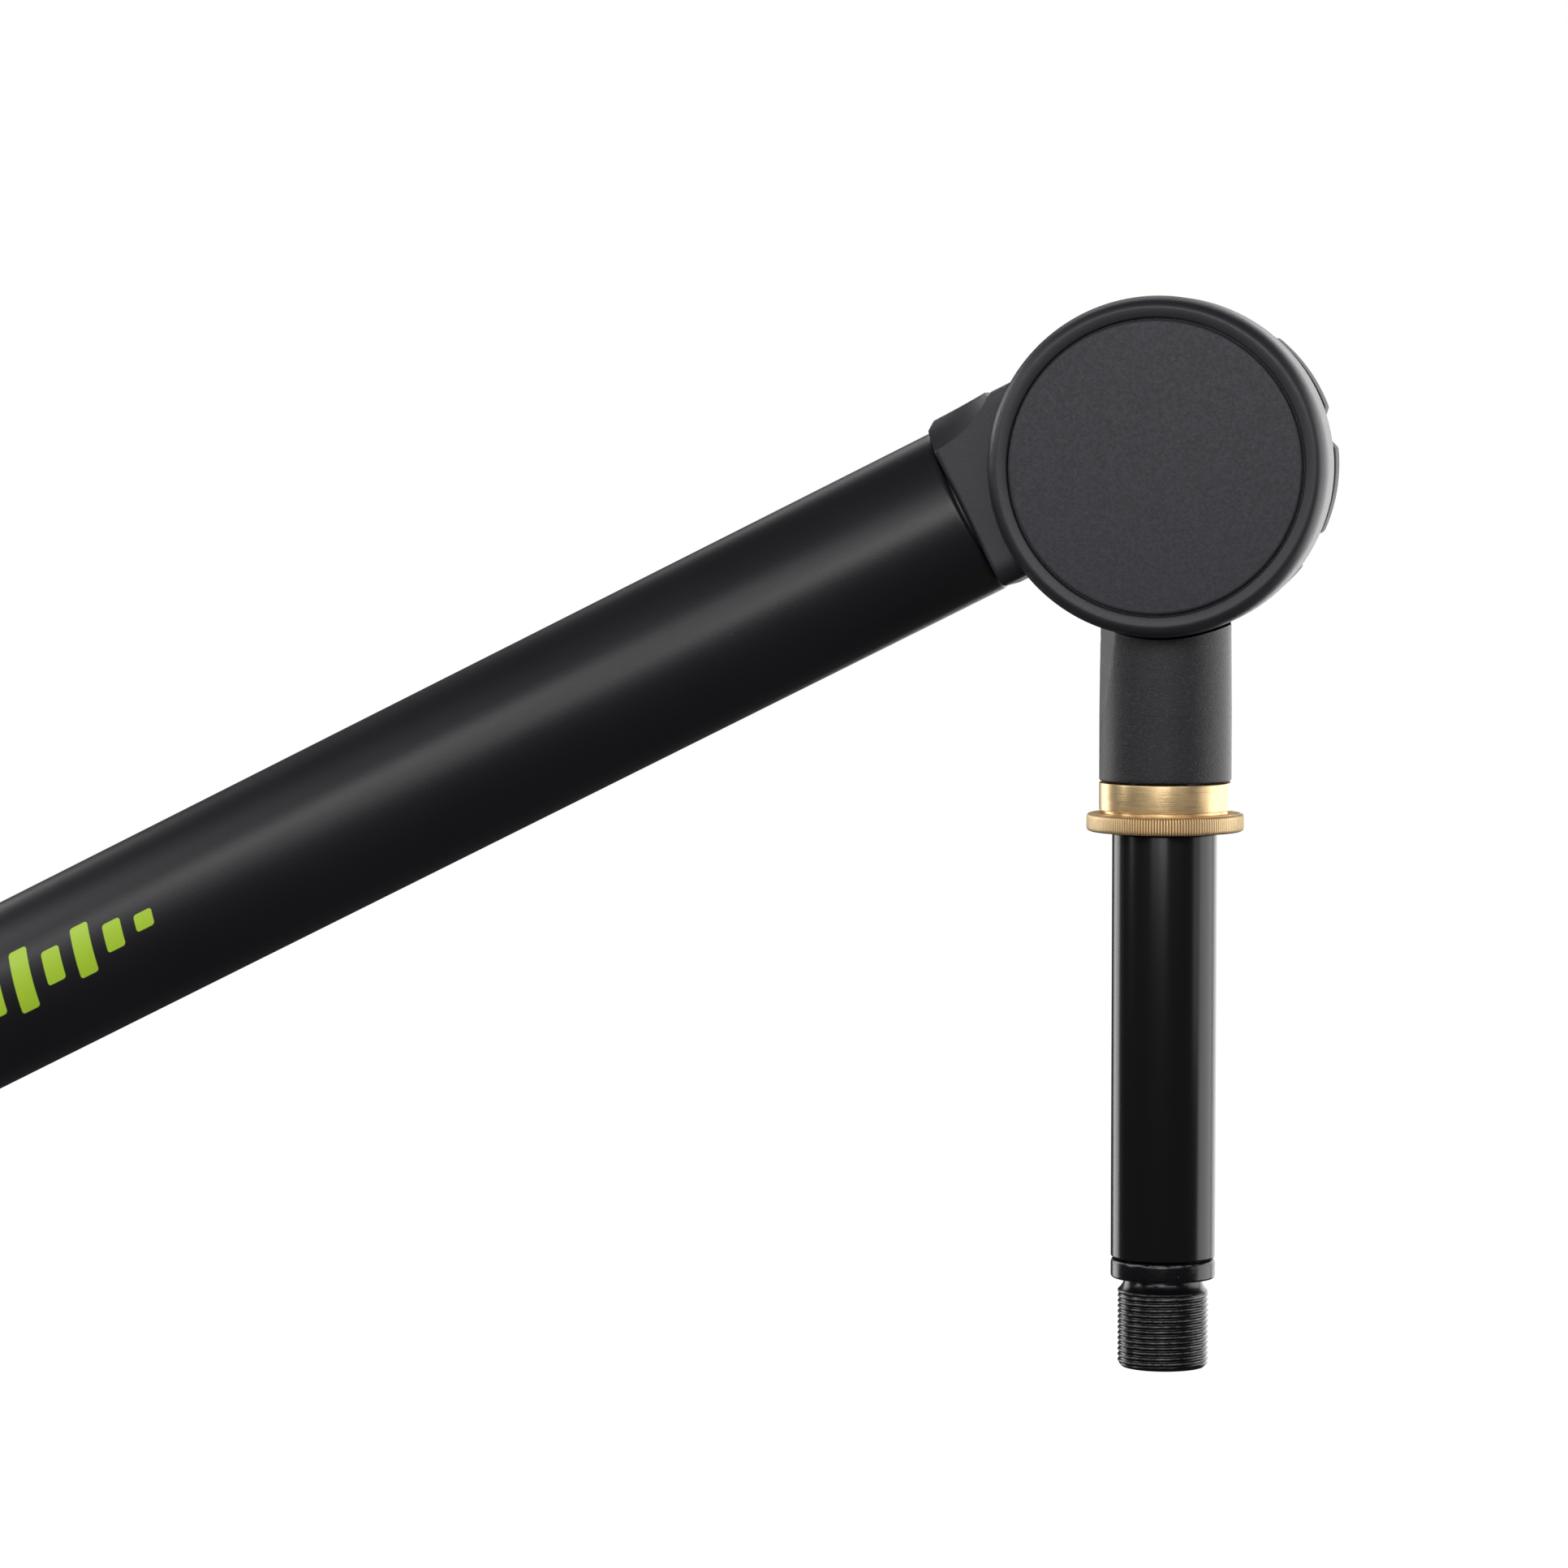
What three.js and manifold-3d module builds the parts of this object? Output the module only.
// Desk-clamped microphone boom: a C-clamp with a swivel socket, a lower and an upper spring arm joined by
// disc hinges, and a hanging stem that ends in a 5/8 inch microphone thread.
// Millimetres, +Z up. The origin is on the underside of the clamp's upper pad, on the swivel axis. Every
// hinge turns about Y, and the covered face of each hinge looks along -Y.
import * as THREE from "three";
import { mergeVertices } from "three/addons/utils/BufferGeometryUtils.js";
import Module from "manifold-3d";

const wasm = await Module();
wasm.setup();

// ---- Driving dimensions ----
const GAP = 0.3; // between faces that touch on the real object
const ROUND = 40; // sides of a large round face
const SMALL_ROUND = 16; // sides of a bolt or a rod

// Spring arms
const TUBE_RADIUS = 15;
const TUBE_WALL = 2;
const TUBE_LENGTH = 382;
const TUBE_OFFSET = 8.5; // tube axis above the line between the hinges, the lever arm of the spring
const HINGE_TO_TUBE = 34; // from a hinge axis to the tube's end
const SPIGOT_LENGTH = 24;
const LOWER_ARM_ANGLE = 105; // degrees above +X, at rest
const UPPER_ARM_ANGLE = 26.6;

// Disc hinges, as a stack along Y from the covered front to the knob behind
const DRUM_RADIUS = 29.2;
const DRUM_FRONT = -19.2;
const DRUM_BACK = -2.2;
const RIM_WIDTH = 3.9;
const RIM_PROUD = 0.9; // how far the rim's crest stands in front of the plate
const PLATE_THICKNESS = 1.5;
const DRUM_WEB = 8;
const WASHER_RADIUS = 14;
const WASHER_THICKNESS = 1;
const TONGUE_RADIUS = 27;
const TONGUE_THICKNESS = 10;
const KNOB_RADIUS = 28.7;
const KNOB_THICKNESS = 10;
const KNOB_LOBES = 8;
const KNOB_VALLEY_ANGLE = 13.4; // degrees above the horizontal of the first valley
const SCALLOP_RADIUS = 4.4;
const SCALLOP_DEPTH = 1.6;
const BOLT_RADIUS = 4;
const BOLT_HEAD_RADIUS = 6.5;
const BOLT_HEAD_HEIGHT = 5;
const NUT_HEIGHT = 5;

// The neck between a tube and its drum or tongue
const NECK_HALF_DEPTH = 12.2;
const NECK_PROUD = 1; // of the neck's top above the tube
const HOOD_PROUD = 1.4; // of the hood above the tube
const HOOD_FOOT = 4.6; // from the tube's top down to the hood's foot at the tube's end
const HOOD_THICKNESS = 1.5;
const HOOD_LENGTH = 13.2;
const HOOD_CHAMFER = 1.4;

// The springs and their pull rods
const SPRING_RADIUS = 8.5;
const SPRING_WIRE = 1.2;
const SPRING_TURNS = 14;
const SPRING_LENGTH = 150;
const ROD_RADIUS = 2.5;
const ROD_EYE_RADIUS = 5;
const ROD_EYE_LENGTH = 4;
const ROD_REST = 5; // from the tube's end to the eye, at rest
const ROD_COLLAR_RADIUS = 11.5;
const ROD_COLLAR_THICKNESS = 4;

// The hanging stem
const NECK_RADIUS = 11.5;
const NECK_LENGTH = 54.6; // from the hinge axis to the end of the knuckle's neck
const STUD_RADIUS = 6;
const STUD_IN_NECK = 16;
const STUD_IN_STEM = 18;
const RING_SLEEVE = 4.8;
const RING_GROOVE = 0.6;
const RING_FLANGE_RADIUS = 13.75;
const RING_FLANGE = 3.1;
const STEM_RADIUS = 9.2;
const STEM_LENGTH = 74.2;
const STEM_WALL = 2.4;
const COLLAR_HEIGHT = 3.3;
const ADAPTOR_PLUG = 14;
const THREAD_RADIUS = 7.94; // 5/8 inch, 27 turns to the inch
const UNDERCUT_RADIUS = 6.85;
const UNDERCUT_LENGTH = 2.1;
const THREAD_LENGTH = 12.5;
const THREAD_PITCH = 0.94;
const THREAD_DEPTH = 0.5;

// The desk clamp and its swivel socket
const PAD_THICKNESS = 2;
const JAW_WIDTH = 50;
const JAW_FRONT = 34; // from the swivel axis to the open end of the upper jaw
const JAW_BACK = 46; // from the swivel axis to the back of the spine
const JAW_THICKNESS = 8;
const SPINE_THICKNESS = 8;
const LOWER_JAW_FRONT = 15;
const JAW_OPENING = 64; // between the upper pad and the lower jaw
const DESK_THICKNESS = 30; // at rest
const BOSS_RADIUS = 10;
const BOSS_HEIGHT = 5;
const SCREW_RADIUS = 6;
const SCREW_LENGTH = 76;
const SCREW_HEAD_RADIUS = 9;
const SCREW_HEAD_HEIGHT = 14;
const T_BAR_RADIUS = 3;
const T_BAR_LENGTH = 62;
const T_BAR_BALL = 5;
const CLAMP_PAD_RADIUS = 17;
const CLAMP_PAD_HEIGHT = 6;
const SOCKET_RADIUS = 18;
const SOCKET_HEIGHT = 36;
const SOCKET_FLANGE_RADIUS = 24.5;
const SOCKET_FLANGE = 4;
const POST_RADIUS = 8;
const BUSH_WALL = 2;
const LOCK_SCREW_RADIUS = 3;
const LOCK_KNOB_RADIUS = 8;
const LOCK_KNOB_LENGTH = 9;
const LOCK_HEIGHT = 20; // above the clamp's upper jaw
const FIXING_RADIUS = 2;
const FIXING_HEAD_RADIUS = 2.9;
const FIXING_HEAD_HEIGHT = 1.8;

// ---- Sizes that follow ----
const TAU = 2 * Math.PI;
const tubeBore = TUBE_RADIUS - TUBE_WALL;
const spigotRadius = tubeBore - GAP;
const hoodRadius = TUBE_RADIUS + HOOD_PROUD;
const hoodFoot = TUBE_OFFSET + TUBE_RADIUS - HOOD_FOOT;
const neckTop = TUBE_OFFSET + TUBE_RADIUS + NECK_PROUD;
const neckBottom = TUBE_OFFSET - TUBE_RADIUS;
const rodBore = ROD_RADIUS + 1;
const armSpan = TUBE_LENGTH + 2 * HINGE_TO_TUBE; // from hinge axis to hinge axis
const plateRecess = DRUM_RADIUS - RIM_WIDTH;
const plateRadius = plateRecess - GAP;
const plateBack = DRUM_FRONT + PLATE_THICKNESS;
const frontWasher = DRUM_BACK + GAP;
const tongueFront = frontWasher + WASHER_THICKNESS + GAP;
const tongueBack = tongueFront + TONGUE_THICKNESS;
const backWasher = tongueBack + GAP;
const knobFront = backWasher + WASHER_THICKNESS + GAP;
const knobBack = knobFront + KNOB_THICKNESS;
const pocketFloor = DRUM_BACK - DRUM_WEB;
const nutFront = knobFront + GAP;
const neckEnd = HINGE_TO_TUBE - GAP;
const rodBack = HINGE_TO_TUBE + ROD_REST; // the eye's end, nearest the hinge
const springStart = HINGE_TO_TUBE + SPIGOT_LENGTH + GAP;
const collarStart = springStart + SPRING_LENGTH + 2 * SPRING_WIRE + GAP;
const drumClearance = DRUM_RADIUS + 0.5;
const knobClearance = KNOB_RADIUS + 0.7;
const jawTop = PAD_THICKNESS + GAP + JAW_THICKNESS;
const postShoulder = jawTop + GAP + SOCKET_HEIGHT + GAP;
const shoulderHeight = postShoulder + NECK_LENGTH;
const boltEnd = knobBack - 3;
const ringTop = -NECK_LENGTH - GAP;
const ringBottom = ringTop - RING_SLEEVE - RING_GROOVE - RING_FLANGE;
const stemTop = ringBottom - GAP;
const stemBottom = stemTop - STEM_LENGTH;
const lowerJawTop = -JAW_OPENING;
const fixingCircle = (SOCKET_RADIUS + SOCKET_FLANGE_RADIUS) / 2;
const lockKnobFace = -SOCKET_RADIUS - 5;
const screwTop = -DESK_THICKNESS - CLAMP_PAD_HEIGHT;
const screwBottom = screwTop - SCREW_LENGTH;

// ---- Materials ----
function finish(color, roughness, metalness) {
  return new THREE.MeshStandardMaterial({ color, roughness, metalness });
}
const anodised = finish(0x16161a, 0.45, 0.6);
const satinBlack = finish(0x2c2c31, 0.6, 0.1);
const grainedBlack = finish(0x3a3a40, 0.75, 0.0);
const castBlack = finish(0x26272b, 0.7, 0.3);
const glossBlack = finish(0x08080a, 0.2, 0.3);
const brass = finish(0xd9b070, 0.3, 1.0);
const steel = finish(0x9a9a9c, 0.35, 1.0);
const rubber = finish(0x1b1b1c, 0.9, 0.0);
const nylon = finish(0xd8d6cc, 0.6, 0.0);

// ---- Solids ----
// A closed geometry as a solid that can be joined and cut.
function solidOf(geometry) {
  const bare = new THREE.BufferGeometry();
  bare.setAttribute("position", geometry.getAttribute("position"));
  bare.setIndex(geometry.index);
  const merged = mergeVertices(bare, 1e-3);
  return new wasm.Manifold(
    new wasm.Mesh({
      numProp: 3,
      vertProperties: merged.getAttribute("position").array,
      triVerts: new Uint32Array(merged.index.array),
    }),
  );
}

// A solid as a geometry that a mesh can hold.
function geometryOf(solid) {
  const { vertProperties, triVerts } = solid.getMesh();
  const geometry = new THREE.BufferGeometry();
  geometry.setAttribute("position", new THREE.BufferAttribute(vertProperties, 3));
  geometry.setIndex(new THREE.BufferAttribute(triVerts, 1));
  geometry.computeVertexNormals();
  return geometry;
}

// Turns a profile of [radius, height] points about the axis named; the profile may run either way round.
function turned(profile, axis = "z", sides = ROUND) {
  const area = profile.reduce((sum, [r, h], i) => {
    const [nextR, nextH] = profile[(i + 1) % profile.length];
    return sum + r * nextH - nextR * h;
  }, 0);
  const points = profile.map(([r, h]) => new THREE.Vector2(r, h));
  if (area < 0) points.reverse();
  const first = points[0];
  if (first.x > 0) points.push(first.clone());
  const geometry = new THREE.LatheGeometry(points, sides);
  if (axis === "z") geometry.rotateX(Math.PI / 2);
  if (axis === "x") geometry.rotateZ(-Math.PI / 2);
  return geometry;
}

// A plain cylinder between two heights on an axis.
function rod(radius, low, high, axis = "z", sides = ROUND) {
  const profile = [
    [0, low],
    [radius, low],
    [radius, high],
    [0, high],
  ];
  return turned(profile, axis, sides);
}

// A cylinder with a 45 degree chamfer at each end.
function chamferedRod(radius, low, high, chamfer, axis = "z", sides = ROUND) {
  const profile = [
    [0, low],
    [radius - chamfer, low],
    [radius, low + chamfer],
    [radius, high - chamfer],
    [radius - chamfer, high],
    [0, high],
  ];
  return turned(profile, axis, sides);
}

// A ring with a rectangular section.
function ring(inner, outer, low, high, axis = "z", sides = ROUND) {
  const profile = [
    [inner, low],
    [outer, low],
    [outer, high],
    [inner, high],
  ];
  return turned(profile, axis, sides);
}

// An outline in X and Z, given thickness along Y.
function slab(shape, front, back, curveSegments = 12) {
  const geometry = new THREE.ExtrudeGeometry(shape, {
    depth: back - front,
    bevelEnabled: false,
    curveSegments,
  });
  return geometry.rotateX(Math.PI / 2).translate(0, back, 0);
}

function box(width, depth, height, x, y, z) {
  return new THREE.BoxGeometry(width, depth, height).translate(x, y, z);
}

function polygon(radius, sides) {
  const points = Array.from({ length: sides }, (_, i) => {
    const angle = (TAU * i) / sides;
    return new THREE.Vector2(radius * Math.cos(angle), radius * Math.sin(angle));
  });
  return new THREE.Shape(points);
}

function mesh(name, geometry, material) {
  const made = new THREE.Mesh(geometry, material);
  made.name = name;
  return made;
}

// ---- Hinge hardware, about a hinge centre ----
// The drum's outer shape: a rounded rim that stands in front of the plate and falls inwards to it.
function drumSolid() {
  const crest = DRUM_FRONT - RIM_PROUD;
  const crestRadius = DRUM_RADIUS - RIM_WIDTH * 0.5;
  const roundDepth = 4.4;
  const profile = [
    [0, DRUM_BACK],
    [DRUM_RADIUS, DRUM_BACK],
  ];
  const steps = 4;
  for (let i = 0; i <= steps; i++) {
    const angle = (Math.PI / 2) * (i / steps);
    profile.push([
      crestRadius + (DRUM_RADIUS - crestRadius) * Math.cos(angle),
      crest + roundDepth * (1 - Math.sin(angle)),
    ]);
  }
  profile.push([plateRecess, DRUM_FRONT + 0.2], [plateRecess, plateBack], [0, plateBack]);
  return solidOf(turned(profile, "y"));
}

// What is cut out of a drum: the well for the bolt's head, behind the plate, and the bolt's hole.
function drumWell() {
  const well = solidOf(rod(BOLT_HEAD_RADIUS + 0.6, plateBack - 1, pocketFloor, "y", SMALL_ROUND));
  const hole = solidOf(rod(BOLT_RADIUS + GAP, pocketFloor - 1, DRUM_BACK + 1, "y", SMALL_ROUND));
  return well.add(hole);
}

function hingePlate(name) {
  return mesh(
    name,
    chamferedRod(plateRadius, DRUM_FRONT, plateBack - GAP, 0.25, "y"),
    grainedBlack,
  );
}

function hingeBolt(name) {
  const head = slab(polygon(BOLT_HEAD_RADIUS, 6), pocketFloor - GAP - BOLT_HEAD_HEIGHT, pocketFloor - GAP);
  const shank = rod(BOLT_RADIUS, pocketFloor - 1, boltEnd, "y", SMALL_ROUND);
  return mesh(name, geometryOf(solidOf(head).add(solidOf(shank))), steel);
}

function hingeWasher(name, front) {
  const washer = ring(BOLT_RADIUS + GAP, WASHER_RADIUS, front, front + WASHER_THICKNESS, "y", 24);
  return mesh(name, washer, nylon);
}

// The lobed outline of a hinge knob, with a round scallop between each two lobes.
function knobOutline() {
  const centre = KNOB_RADIUS - SCALLOP_DEPTH + SCALLOP_RADIUS;
  const cosine = (KNOB_RADIUS ** 2 + centre ** 2 - SCALLOP_RADIUS ** 2) / (2 * KNOB_RADIUS * centre);
  const half = Math.acos(cosine); // half the angle that a scallop takes out of the rim
  const turn = Math.asin((KNOB_RADIUS * Math.sin(half)) / SCALLOP_RADIUS);
  const shape = new THREE.Shape();
  for (let i = 0; i < KNOB_LOBES; i++) {
    const valley = THREE.MathUtils.degToRad(KNOB_VALLEY_ANGLE) + (TAU * i) / KNOB_LOBES;
    const x = centre * Math.cos(valley);
    const z = centre * Math.sin(valley);
    shape.absarc(x, z, SCALLOP_RADIUS, valley + Math.PI + turn, valley + Math.PI - turn, true);
    shape.absarc(0, 0, KNOB_RADIUS, valley + half, valley + TAU / KNOB_LOBES - half, false);
  }
  return shape;
}

function hingeKnob(name) {
  const lobes = solidOf(slab(knobOutline(), knobFront, knobBack, 4));
  const nutPocket = solidOf(slab(polygon(BOLT_HEAD_RADIUS + GAP + 0.2, 6), knobFront - 1, nutFront + NUT_HEIGHT + GAP));
  const hole = solidOf(rod(BOLT_RADIUS + GAP, knobFront - 1, boltEnd + GAP, "y", SMALL_ROUND));
  return mesh(name, geometryOf(lobes.subtract(nutPocket).subtract(hole)), satinBlack);
}

function hingeNut(name) {
  const nut = solidOf(slab(polygon(BOLT_HEAD_RADIUS, 6), nutFront, nutFront + NUT_HEIGHT));
  const hole = solidOf(rod(BOLT_RADIUS + GAP, nutFront - 1, nutFront + NUT_HEIGHT + 1, "y", SMALL_ROUND));
  return mesh(name, geometryOf(nut.subtract(hole)), steel);
}

// ---- Arm ends, about a hinge centre with the tube towards +X ----
// The neck's side face: full height at the hinge, and lower under the hood, where it meets the tube.
function neckOutline() {
  const top = neckTop;
  const bottom = neckBottom;
  const hoodEnd = neckEnd - HOOD_LENGTH;
  const shape = new THREE.Shape();
  shape.moveTo(8, bottom);
  shape.lineTo(neckEnd - 1, bottom);
  shape.lineTo(neckEnd, bottom + 1);
  shape.lineTo(neckEnd, hoodFoot);
  shape.quadraticCurveTo(neckEnd - 8, hoodFoot + 0.2, hoodEnd, top);
  shape.lineTo(8, top);
  return shape;
}

// A cylinder along the arm, on the tube's axis.
function onTubeAxis(radius, low, high, sides = ROUND) {
  return solidOf(rod(radius, low, high, "x", sides).translate(0, 0, TUBE_OFFSET));
}

// The neck with its spigot in the tube, before the hinge's own parts are cut out of it.
function neckSolid() {
  const side = solidOf(slab(neckOutline(), -NECK_HALF_DEPTH, NECK_HALF_DEPTH));
  const core = onTubeAxis(hoodRadius - HOOD_THICKNESS - GAP, 20, neckEnd);
  const spigot = onTubeAxis(spigotRadius, neckEnd - 1, HINGE_TO_TUBE + SPIGOT_LENGTH);
  return side.add(core).add(spigot);
}

// The hole for the screw that holds the spigot in the tube.
function spigotHole() {
  const hole = rod(FIXING_RADIUS + GAP, spigotRadius - 6, spigotRadius + 2, "y", 16);
  return solidOf(hole.translate(HINGE_TO_TUBE + SPIGOT_LENGTH / 2, 0, TUBE_OFFSET));
}

// The pull rod's passage through a neck: wide for the eye, and a guide at the spigot's end.
function rodPassage() {
  const guideStart = HINGE_TO_TUBE + SPIGOT_LENGTH - 4;
  const wide = onTubeAxis(ROD_EYE_RADIUS + 0.5, 22, guideStart, SMALL_ROUND);
  return wide.add(onTubeAxis(rodBore, guideStart - 1, HINGE_TO_TUBE + SPIGOT_LENGTH + 1, SMALL_ROUND));
}

// A drum and its neck, with room behind the drum for the other side's tongue and the knob.
function drumEnd(name, hasRod) {
  const tongueRoom = rod(TONGUE_RADIUS + 0.6, DRUM_BACK, tongueBack + WASHER_THICKNESS + GAP, "y");
  const knobRoom = rod(knobClearance, tongueBack + GAP, 40, "y");
  const made = neckSolid()
    .subtract(solidOf(rod(DRUM_RADIUS - 1, -NECK_HALF_DEPTH - 1, DRUM_BACK, "y")))
    .add(drumSolid())
    .subtract(solidOf(tongueRoom))
    .subtract(solidOf(knobRoom))
    .subtract(drumWell())
    .subtract(spigotHole());
  return mesh(name, geometryOf(hasRod ? made.subtract(rodPassage()) : made), satinBlack);
}

// Cuts the room of the drum and the knob out of a neck, and puts the tongue between them.
function withTongue(neck) {
  const drumRoom = solidOf(rod(drumClearance, -40, tongueFront, "y"));
  const knobRoom = solidOf(rod(knobClearance, tongueBack, 40, "y"));
  const disc = solidOf(rod(TONGUE_RADIUS, tongueFront, tongueBack, "y"));
  const hole = solidOf(rod(BOLT_RADIUS + GAP, tongueFront - 1, tongueBack + 1, "y", SMALL_ROUND));
  return neck.subtract(drumRoom).subtract(knobRoom).add(disc).subtract(hole);
}

function tongueEnd(name) {
  return mesh(name, geometryOf(withTongue(neckSolid()).subtract(spigotHole())), satinBlack);
}

// The hood over the top of a neck, where its flat sides meet the round tube.
function neckHood(name) {
  const start = neckEnd - HOOD_LENGTH + 1.5;
  const end = neckEnd - 0.2;
  const foot = hoodFoot + GAP;
  const crest = TUBE_OFFSET + hoodRadius;
  const shape = new THREE.Shape();
  shape.moveTo(start, crest);
  shape.lineTo(start, neckTop);
  shape.quadraticCurveTo(neckEnd - 8 + GAP, foot + 0.2, end, foot);
  shape.lineTo(end, crest - HOOD_CHAMFER);
  shape.lineTo(end - HOOD_CHAMFER, crest);
  const side = solidOf(slab(shape, -NECK_HALF_DEPTH, NECK_HALF_DEPTH));
  const outer = onTubeAxis(hoodRadius, start - 1, end + 1);
  const inner = onTubeAxis(hoodRadius - HOOD_THICKNESS, start - 2, end + 2);
  const neckRoom = solidOf(slab(neckOutline(), -NECK_HALF_DEPTH - 1, NECK_HALF_DEPTH + 1));
  return mesh(name, geometryOf(side.intersect(outer).subtract(inner).subtract(neckRoom)), satinBlack);
}

// ---- Tubes, springs and rods, along an arm from its lower hinge ----
function armTube(name) {
  const outer = onTubeAxis(TUBE_RADIUS, HINGE_TO_TUBE, HINGE_TO_TUBE + TUBE_LENGTH);
  const bore = onTubeAxis(tubeBore, HINGE_TO_TUBE - 1, HINGE_TO_TUBE + TUBE_LENGTH + 1);
  const inset = HINGE_TO_TUBE + SPIGOT_LENGTH / 2;
  const holes = [inset, armSpan - inset].map((x) =>
    solidOf(rod(FIXING_RADIUS + GAP, 0, TUBE_RADIUS + 2, "y", 16).translate(x, 0, TUBE_OFFSET)),
  );
  return mesh(name, geometryOf(outer.subtract(bore).subtract(holes[0]).subtract(holes[1])), anodised);
}

function tubeScrew(name) {
  const headStart = TUBE_RADIUS + 0.1;
  const tip = spigotRadius - 5;
  const profile = [
    [0, tip],
    [FIXING_RADIUS, tip],
    [FIXING_RADIUS, headStart],
    [FIXING_HEAD_RADIUS, headStart],
    [FIXING_HEAD_RADIUS - 0.8, headStart + FIXING_HEAD_HEIGHT],
    [0, headStart + FIXING_HEAD_HEIGHT],
  ];
  const made = mesh(name, turned(profile, "y", 16), steel);
  made.position.set(HINGE_TO_TUBE + SPIGOT_LENGTH / 2, 0, TUBE_OFFSET);
  return made;
}

class Helix extends THREE.Curve {
  constructor(radius, length, turns) {
    super();
    Object.assign(this, { radius, length, turns });
  }

  getPoint(t, target = new THREE.Vector3()) {
    const angle = TAU * this.turns * t;
    return target.set(this.length * t, this.radius * Math.cos(angle), this.radius * Math.sin(angle));
  }
}

function armSpring(name) {
  const path = new Helix(SPRING_RADIUS, SPRING_LENGTH, SPRING_TURNS);
  const geometry = new THREE.ExtrudeGeometry(polygon(SPRING_WIRE, 5), {
    extrudePath: path,
    steps: SPRING_TURNS * 8,
    bevelEnabled: false,
  });
  const made = mesh(name, geometry, steel);
  made.position.set(springStart + SPRING_WIRE, 0, TUBE_OFFSET);
  return made;
}

function pullRod(name) {
  const end = collarStart + ROD_COLLAR_THICKNESS;
  const profile = [
    [0, rodBack],
    [ROD_EYE_RADIUS, rodBack],
    [ROD_EYE_RADIUS, rodBack + ROD_EYE_LENGTH],
    [ROD_RADIUS, rodBack + ROD_EYE_LENGTH],
    [ROD_RADIUS, collarStart],
    [ROD_COLLAR_RADIUS, collarStart],
    [ROD_COLLAR_RADIUS, end],
    [0, end],
  ];
  const made = mesh(name, turned(profile, "x", SMALL_ROUND), steel);
  made.position.z = TUBE_OFFSET;
  return made;
}

// Moves a mesh from the lower end of an arm to its upper end, mirrored.
function atUpperEnd(made) {
  const geometry = made.geometry.clone().translate(made.position.x, made.position.y, made.position.z);
  const position = geometry.getAttribute("position");
  for (let i = 0; i < position.count; i++) position.setX(i, armSpan - position.getX(i));
  const flat = geometry.index ? geometry : mergeVertices(geometry);
  const index = flat.index.array;
  for (let i = 0; i < index.length; i += 3) {
    [index[i + 1], index[i + 2]] = [index[i + 2], index[i + 1]];
  }
  flat.computeVertexNormals();
  return mesh(made.name, flat, made.material);
}

// ---- One hinge's own hardware ----
function fixedHardware(name) {
  return [
    hingePlate(name + "_plate"),
    hingeBolt(name + "_bolt"),
    hingeWasher(name + "_washer_front", frontWasher),
    hingeWasher(name + "_washer_back", backWasher),
  ];
}

function knobHardware(name) {
  return [hingeKnob(name + "_knob"), hingeNut(name + "_nut")];
}

// ---- Knuckles: a tongue on a round neck that points down, about a hinge centre ----
function knuckleNeck(length) {
  return withTongue(solidOf(rod(NECK_RADIUS, -length, -16)));
}

function headKnuckle() {
  const bore = solidOf(rod(STUD_RADIUS + GAP, -NECK_LENGTH - 1, -NECK_LENGTH + STUD_IN_NECK));
  return mesh("head_knuckle", geometryOf(knuckleNeck(NECK_LENGTH).subtract(bore)), castBlack);
}

function baseKnuckle() {
  const postEnd = -(shoulderHeight - jawTop - 2);
  const post = solidOf(chamferedRod(POST_RADIUS, postEnd, -NECK_LENGTH + 1, 0.8));
  return mesh("base_knuckle", geometryOf(knuckleNeck(NECK_LENGTH).add(post)), castBlack);
}

// ---- The hanging stem, about the head hinge's centre ----
function headStud() {
  const top = -NECK_LENGTH + STUD_IN_NECK - GAP;
  return mesh("head_stud", chamferedRod(STUD_RADIUS, stemTop - STUD_IN_STEM, top, 0.6, "z", 32), steel);
}

function lockRing() {
  const sleeveEnd = ringTop - RING_SLEEVE;
  const flangeTop = sleeveEnd - RING_GROOVE;
  const bore = STUD_RADIUS + GAP;
  const profile = [
    [bore, ringTop],
    [NECK_RADIUS, ringTop],
    [NECK_RADIUS, sleeveEnd],
    [NECK_RADIUS - 0.6, sleeveEnd],
    [NECK_RADIUS - 0.6, flangeTop],
    [RING_FLANGE_RADIUS - 0.5, flangeTop],
    [RING_FLANGE_RADIUS, flangeTop - 0.5],
    [RING_FLANGE_RADIUS, ringBottom + 0.5],
    [RING_FLANGE_RADIUS - 0.5, ringBottom],
    [bore, ringBottom],
  ];
  return mesh("lock_ring", turned(profile), brass);
}

function stemTube() {
  const inner = STEM_RADIUS - STEM_WALL;
  return mesh("stem_tube", ring(inner, STEM_RADIUS, stemBottom, stemTop, "z", 40), glossBlack);
}

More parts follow.
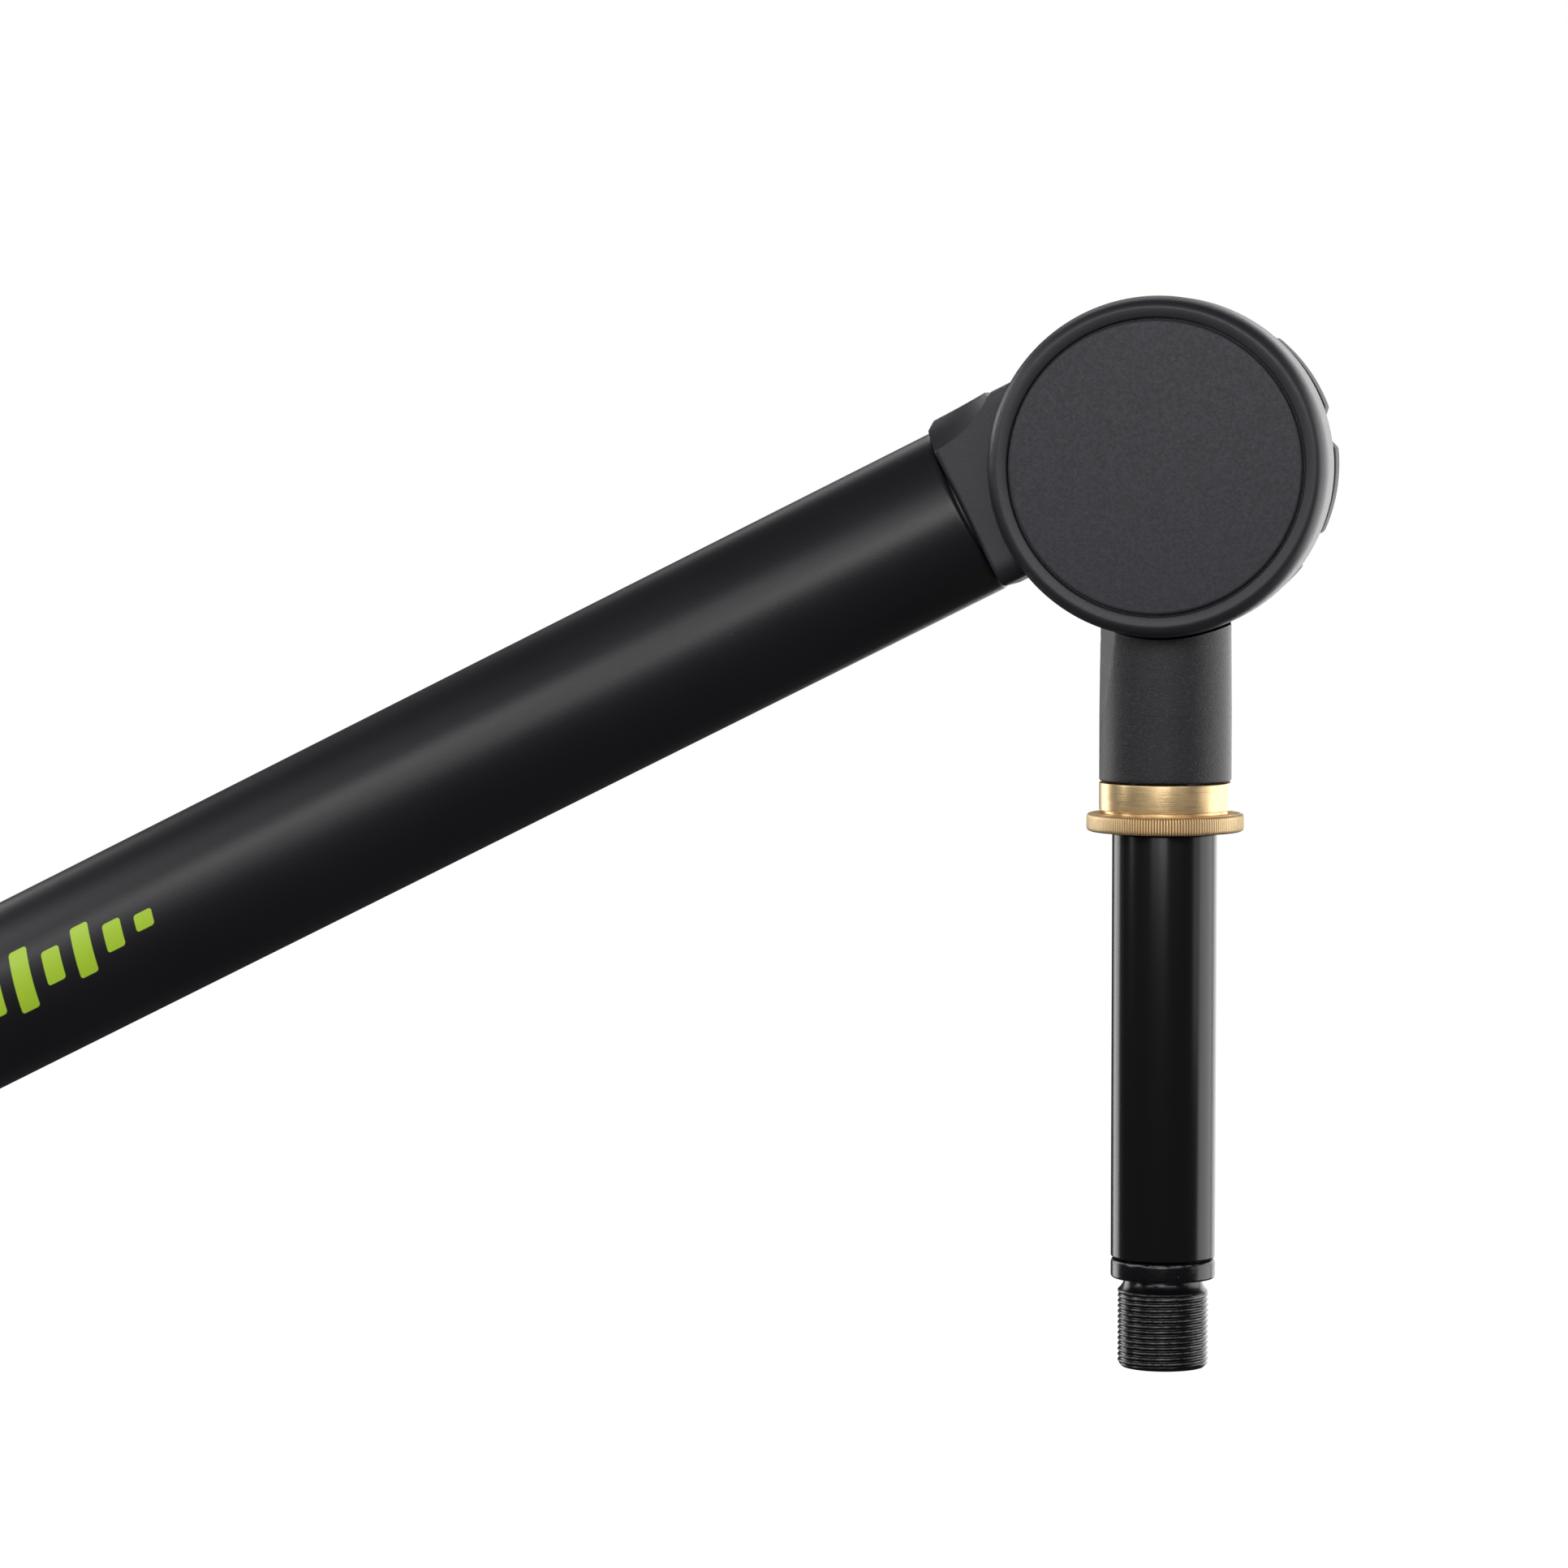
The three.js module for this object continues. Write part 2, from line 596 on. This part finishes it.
// The collar, the undercut and the thread's ridges, on a plug that holds them in the stem.
function stemAdaptor() {
  const plug = STEM_RADIUS - STEM_WALL - GAP;
  const collarTop = stemBottom - GAP;
  const collarEnd = collarTop - COLLAR_HEIGHT;
  const threadTop = collarEnd - UNDERCUT_LENGTH - (THREAD_RADIUS - UNDERCUT_RADIUS);
  const root = THREAD_RADIUS - THREAD_DEPTH;
  const profile = [
    [0, stemBottom + ADAPTOR_PLUG],
    [plug, stemBottom + ADAPTOR_PLUG],
    [plug, collarTop],
    [STEM_RADIUS, collarTop],
    [STEM_RADIUS, collarEnd + 0.3],
    [STEM_RADIUS - 0.3, collarEnd],
    [UNDERCUT_RADIUS, collarEnd],
    [UNDERCUT_RADIUS, collarEnd - UNDERCUT_LENGTH],
  ];
  const turns = Math.floor((THREAD_LENGTH - 1) / THREAD_PITCH);
  for (let i = 0; i < turns; i++) {
    const crest = threadTop - THREAD_PITCH * i;
    profile.push([THREAD_RADIUS, crest], [THREAD_RADIUS, crest - 0.2]);
    if (i < turns - 1) profile.push([root, crest - 0.57]);
  }
  const end = threadTop - THREAD_LENGTH;
  profile.push([THREAD_RADIUS - 0.9, end], [0, end]);
  return mesh("stem_adaptor", turned(profile, "z", 24), glossBlack);
}

// ---- The clamp ----
function clampFrame() {
  const back = -JAW_BACK;
  const inner = back + SPINE_THICKNESS;
  const top = jawTop;
  const upperUnder = top - JAW_THICKNESS;
  const bottom = lowerJawTop - JAW_THICKNESS;
  const shape = new THREE.Shape();
  shape.moveTo(JAW_FRONT, upperUnder);
  shape.lineTo(JAW_FRONT, top);
  shape.lineTo(back + 5, top);
  shape.quadraticCurveTo(back, top, back, top - 5);
  shape.lineTo(back, bottom + 5);
  shape.quadraticCurveTo(back, bottom, back + 5, bottom);
  shape.lineTo(LOWER_JAW_FRONT, bottom);
  shape.lineTo(LOWER_JAW_FRONT, lowerJawTop);
  shape.lineTo(inner + 4, lowerJawTop);
  shape.quadraticCurveTo(inner, lowerJawTop, inner, lowerJawTop + 4);
  shape.lineTo(inner, upperUnder - 4);
  shape.quadraticCurveTo(inner, upperUnder, inner + 4, upperUnder);
  const bracket = solidOf(slab(shape, -JAW_WIDTH / 2, JAW_WIDTH / 2, 6));
  const boss = solidOf(rod(BOSS_RADIUS, bottom - BOSS_HEIGHT, bottom + 1, "z", 32));
  const hole = solidOf(rod(SCREW_RADIUS + GAP, bottom - BOSS_HEIGHT - 1, lowerJawTop + 1, "z", 32));
  const made = [-1, 1].reduce((solid, side) => {
    const fixing = rod(FIXING_RADIUS + GAP, top - 6, top + 1, "z", 16).translate(0, side * fixingCircle, 0);
    return solid.subtract(solidOf(fixing));
  }, bracket.add(boss).subtract(hole));
  return mesh("clamp_frame", geometryOf(made), castBlack);
}

function clampTopPad() {
  const width = JAW_FRONT + JAW_BACK - SPINE_THICKNESS - 6;
  const centre = JAW_FRONT - 1 - width / 2;
  return mesh("clamp_top_pad", box(width, JAW_WIDTH - 4, PAD_THICKNESS, centre, 0, PAD_THICKNESS / 2), rubber);
}

function swivelSocket() {
  const low = jawTop + GAP;
  const high = low + SOCKET_HEIGHT;
  const bore = POST_RADIUS + 2 * GAP + BUSH_WALL;
  const profile = [
    [bore, low],
    [SOCKET_FLANGE_RADIUS, low],
    [SOCKET_FLANGE_RADIUS, low + SOCKET_FLANGE],
    [SOCKET_RADIUS, low + SOCKET_FLANGE],
    [SOCKET_RADIUS, high - 1.5],
    [SOCKET_RADIUS - 1.5, high],
    [bore, high],
  ];
  const made = [-1, 1].reduce((solid, side) => {
    const fixing = rod(FIXING_RADIUS + GAP, low - 1, low + SOCKET_FLANGE + 1, "z", 16);
    return solid.subtract(solidOf(fixing.translate(0, side * fixingCircle, 0)));
  }, solidOf(turned(profile)).subtract(lockHole()));
  return mesh("swivel_socket", geometryOf(made), castBlack);
}

function lockHole() {
  const hole = rod(LOCK_SCREW_RADIUS + GAP, -SOCKET_RADIUS - 2, -POST_RADIUS, "x", 16);
  return solidOf(hole.translate(0, 0, jawTop + LOCK_HEIGHT));
}

function socketBush() {
  const low = jawTop + 2 * GAP;
  const bush = ring(POST_RADIUS + GAP, POST_RADIUS + GAP + BUSH_WALL, low, low + SOCKET_HEIGHT - 1);
  return mesh("socket_bush", geometryOf(solidOf(bush).subtract(lockHole())), nylon);
}

function socketScrew(name, side) {
  const seat = jawTop + GAP + SOCKET_FLANGE + GAP;
  const profile = [
    [0, jawTop - 5],
    [FIXING_RADIUS, jawTop - 5],
    [FIXING_RADIUS, seat],
    [FIXING_HEAD_RADIUS, seat],
    [FIXING_HEAD_RADIUS, seat + FIXING_HEAD_HEIGHT],
    [0, seat + FIXING_HEAD_HEIGHT],
  ];
  const made = mesh(name, turned(profile, "z", 16), steel);
  made.position.y = side * fixingCircle;
  return made;
}

function lockScrew() {
  const tip = -POST_RADIUS - 0.4;
  const made = mesh("lock_screw", rod(LOCK_SCREW_RADIUS, lockKnobFace - 6, tip, "x", 16), steel);
  made.position.z = jawTop + LOCK_HEIGHT;
  return made;
}

function lockKnob() {
  const body = solidOf(chamferedRod(LOCK_KNOB_RADIUS, lockKnobFace - LOCK_KNOB_LENGTH, lockKnobFace, 1, "x", 32));
  const hole = solidOf(rod(LOCK_SCREW_RADIUS + GAP, lockKnobFace - 6 - GAP, lockKnobFace + 1, "x", 16));
  const made = mesh("lock_knob", geometryOf(body.subtract(hole)), satinBlack);
  made.position.z = jawTop + LOCK_HEIGHT;
  return made;
}

function clampFoot() {
  const top = -DESK_THICKNESS - PAD_THICKNESS - GAP;
  const disc = solidOf(rod(CLAMP_PAD_RADIUS, screwTop, top, "z", 40));
  const cup = solidOf(rod(SCREW_RADIUS + GAP, screwTop - 1, screwTop + 1.5, "z", 32));
  return mesh("clamp_foot", geometryOf(disc.subtract(cup)), steel);
}

function clampFootPad() {
  const top = -DESK_THICKNESS;
  return mesh("clamp_foot_pad", rod(CLAMP_PAD_RADIUS - 1, top - PAD_THICKNESS, top, "z", 40), rubber);
}

function clampScrew() {
  const headTop = screwBottom;
  const headEnd = headTop - SCREW_HEAD_HEIGHT;
  const profile = [
    [0, headEnd],
    [SCREW_HEAD_RADIUS, headEnd],
    [SCREW_HEAD_RADIUS, headTop],
    [SCREW_RADIUS, headTop],
    [SCREW_RADIUS, screwTop + 1.5 - GAP],
    [0, screwTop + 1.5 - GAP],
  ];
  const hole = rod(T_BAR_RADIUS + GAP, -SCREW_HEAD_RADIUS - 1, SCREW_HEAD_RADIUS + 1, "y", 16);
  const cut = solidOf(hole.translate(0, 0, headTop - SCREW_HEAD_HEIGHT / 2));
  return mesh("clamp_screw", geometryOf(solidOf(turned(profile, "z", 32)).subtract(cut)), steel);
}

// The bar through the screw's head, with a bead at each end.
function clampBar() {
  const half = T_BAR_LENGTH / 2;
  const bead = (sign) =>
    [-60, -30, 0, 30, 60].map((degrees) => {
      const angle = THREE.MathUtils.degToRad(degrees);
      return [T_BAR_BALL * Math.cos(angle), sign * half + T_BAR_BALL * Math.sin(angle)];
    });
  const low = bead(-1);
  const high = bead(1);
  const profile = [[0, -half - T_BAR_BALL], ...low, ...high, [0, half + T_BAR_BALL]];
  const bar = mesh("clamp_bar", turned([profile[0], ...low, [T_BAR_RADIUS, -half + 4.5],
    [T_BAR_RADIUS, half - 4.5], ...high, profile[profile.length - 1]], "y", 16), steel);
  bar.position.z = screwBottom - SCREW_HEAD_HEIGHT / 2;
  return bar;
}

// ---- Assembly ----
function placed(x, z, degrees, parts) {
  const frame = new THREE.Group();
  frame.position.set(x, 0, z);
  frame.rotation.y = -THREE.MathUtils.degToRad(degrees);
  frame.add(...parts);
  return frame;
}

const lowerTurn = THREE.MathUtils.degToRad(LOWER_ARM_ANGLE);
const upperTurn = THREE.MathUtils.degToRad(UPPER_ARM_ANGLE);
const elbowX = armSpan * Math.cos(lowerTurn);
const elbowZ = shoulderHeight + armSpan * Math.sin(lowerTurn);
const headX = elbowX + armSpan * Math.cos(upperTurn);
const headZ = elbowZ + armSpan * Math.sin(upperTurn);

const clamp = placed(0, 0, 0, [
  clampFrame(),
  clampTopPad(),
  swivelSocket(),
  socketBush(),
  socketScrew("socket_screw_1", -1),
  socketScrew("socket_screw_2", 1),
  lockScrew(),
  lockKnob(),
  clampFoot(),
  clampFootPad(),
  clampScrew(),
  clampBar(),
]);
const base = placed(0, shoulderHeight, 0, [baseKnuckle()]);
const lowerArm = placed(0, shoulderHeight, LOWER_ARM_ANGLE, [
  drumEnd("shoulder_drum", true),
  neckHood("shoulder_hood"),
  ...fixedHardware("shoulder"),
  ...knobHardware("shoulder"),
  armTube("lower_tube"),
  tubeScrew("lower_tube_screw_1"),
  atUpperEnd(tubeScrew("lower_tube_screw_2")),
  armSpring("lower_spring"),
  pullRod("lower_pull_rod"),
  atUpperEnd(tongueEnd("elbow_tongue")),
  atUpperEnd(neckHood("elbow_tongue_hood")),
]);
const upperArm = placed(elbowX, elbowZ, UPPER_ARM_ANGLE, [
  drumEnd("elbow_drum", true),
  neckHood("elbow_hood"),
  ...fixedHardware("elbow"),
  ...knobHardware("elbow"),
  armTube("upper_tube"),
  tubeScrew("upper_tube_screw_1"),
  atUpperEnd(tubeScrew("upper_tube_screw_2")),
  armSpring("upper_spring"),
  pullRod("upper_pull_rod"),
  atUpperEnd(drumEnd("head_drum", false)),
  atUpperEnd(neckHood("head_hood")),
]);
const head = placed(headX, headZ, 0, [
  ...fixedHardware("head"),
  ...knobHardware("head"),
  headKnuckle(),
  headStud(),
  lockRing(),
  stemTube(),
  stemAdaptor(),
]);

const boomArm = new THREE.Group();
boomArm.name = "boom_arm";
boomArm.add(clamp, base, lowerArm, upperArm, head);

export default boomArm;
